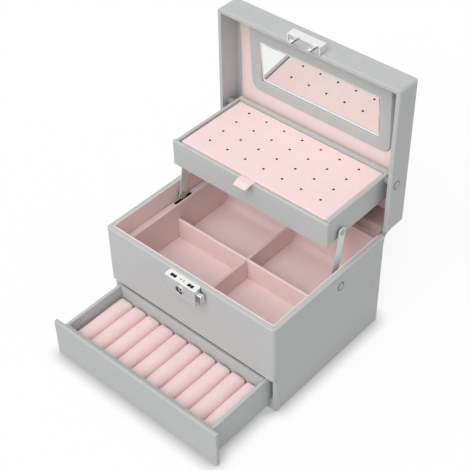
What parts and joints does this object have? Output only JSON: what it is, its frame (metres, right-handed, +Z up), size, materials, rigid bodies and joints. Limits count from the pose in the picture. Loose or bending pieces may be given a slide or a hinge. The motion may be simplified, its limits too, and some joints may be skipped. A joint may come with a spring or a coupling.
{
  "type": "travel jewelry box",
  "caption": "Covered travel jewelry box whose lid lifts an earring tray on side arms, with divided compartments, a ring drawer, a mirror and a push-button lock",
  "frame": {"origin": "centre of the case's underside, the face it stands on", "axes": "+Z up, -Y the front with the lock and the drawer, +X towards the lock's push button"},
  "size_m": [0.1772, 0.2232, 0.2381],
  "materials": {
    "leatherette": "grey grained leatherette over board, matte",
    "velvet": "pale pink short-pile velvet",
    "chrome": "polished plating",
    "bright_steel": "nickel-plated",
    "dark_steel": "dull",
    "mirror": "silvered glass, bevelled edge",
    "card": "grey board",
    "ribbon": "pink satin ribbon"
  },
  "bodies": {
    "case": {"case_shell": "leatherette", "base_board": "leatherette", "middle_board": "leatherette", "case_lining": "velvet", "floor_pad": "velvet", "left_ledge": "velvet", "right_ledge": "velvet", "long_divider": "velvet", "cross_divider": "velvet", "drawer_guides": "leatherette", "case_rivets": "chrome", "case_spacers": "bright_steel", "hinge_case_leaf": "bright_steel", "hinge_pin": "dark_steel", "lock_housing": "chrome", "lock_top_plate": "chrome", "key_rosette": "chrome"},
    "key": {"key_cylinder": "dark_steel"},
    "latch": {"push_button": "chrome", "latch_bar": "bright_steel"},
    "lid": {"lid_shell": "leatherette", "lid_pad": "velvet", "lid_rear_lining": "velvet", "mirror_frame": "leatherette", "mirror_backing": "card", "mirror_glass": "mirror", "hinge_lid_leaf": "bright_steel", "hasp_cover": "chrome", "hasp_prongs": "bright_steel", "lid_rivets": "chrome", "lid_spacers": "bright_steel"},
    "left_arm": {"left_arm": "bright_steel"},
    "right_arm": {"right_arm": "bright_steel"},
    "tray": {"tray_box": "leatherette", "tray_front": "leatherette", "tray_lining": "velvet", "tray_screws": "chrome", "tray_washers": "bright_steel"},
    "earring_panel": {"earring_panel": "velvet", "ribbon_tab": "ribbon"},
    "drawer": {"drawer_front": "leatherette", "drawer_box": "leatherette", "drawer_cross_wall": "leatherette", "drawer_rear_pad": "velvet", "ring_roll_card": "velvet", "ring_roll_1": "velvet", "ring_roll_2": "velvet", "ring_roll_3": "velvet", "ring_roll_4": "velvet", "ring_roll_5": "velvet", "ring_roll_6": "velvet", "ring_roll_7": "velvet", "ring_roll_8": "velvet", "ring_roll_9": "velvet", "ring_roll_10": "velvet"}
  },
  "joints": [
    {"name": "lid_hinge", "type": "hinge", "parent": "case", "child": "lid", "pos_m": [0, 0.068, 0.0946], "axis": [-1, 0, 0], "range_deg": [-90, 0]},
    {"name": "left_arm_pivot", "type": "hinge", "parent": "case", "child": "left_arm", "pos_m": [0, 0.0115, 0.0805], "axis": [-1, 0, 0], "range_deg": [-90, 0]},
    {"name": "right_arm_pivot", "type": "hinge", "parent": "case", "child": "right_arm", "pos_m": [0, 0.0115, 0.0805], "axis": [-1, 0, 0], "range_deg": [-90, 0]},
    {"name": "tray_pivot", "type": "hinge", "parent": "lid", "child": "tray", "pos_m": [0, 0.07607, 0.14039], "axis": [-1, 0, 0], "range_deg": [0, 90]},
    {"name": "panel_hinge", "type": "hinge", "parent": "tray", "child": "earring_panel", "pos_m": [0, 0.07857, 0.14299], "axis": [-1, 0, 0], "range_deg": [0, 70]},
    {"name": "drawer_slide", "type": "slide", "parent": "case", "child": "drawer", "axis": [0, -1, 0], "range_m": [-0.0646, 0.02]},
    {"name": "button_press", "type": "slide", "parent": "case", "child": "latch", "axis": [-1, 0, 0], "range_m": [0, 0.002], "stiffness_N_per_m": 400, "springref_m": -0.002},
    {"name": "key_turn", "type": "hinge", "parent": "case", "child": "key", "pos_m": [0, -0.0755, 0.08525], "axis": [0, -1, 0], "range_deg": [0, 90]}
  ],
  "couplings": [
    {"joint": "left_arm_pivot", "follows": "lid_hinge", "ratio": 1},
    {"joint": "right_arm_pivot", "follows": "lid_hinge", "ratio": 1},
    {"joint": "tray_pivot", "follows": "lid_hinge", "ratio": -1}
  ]
}
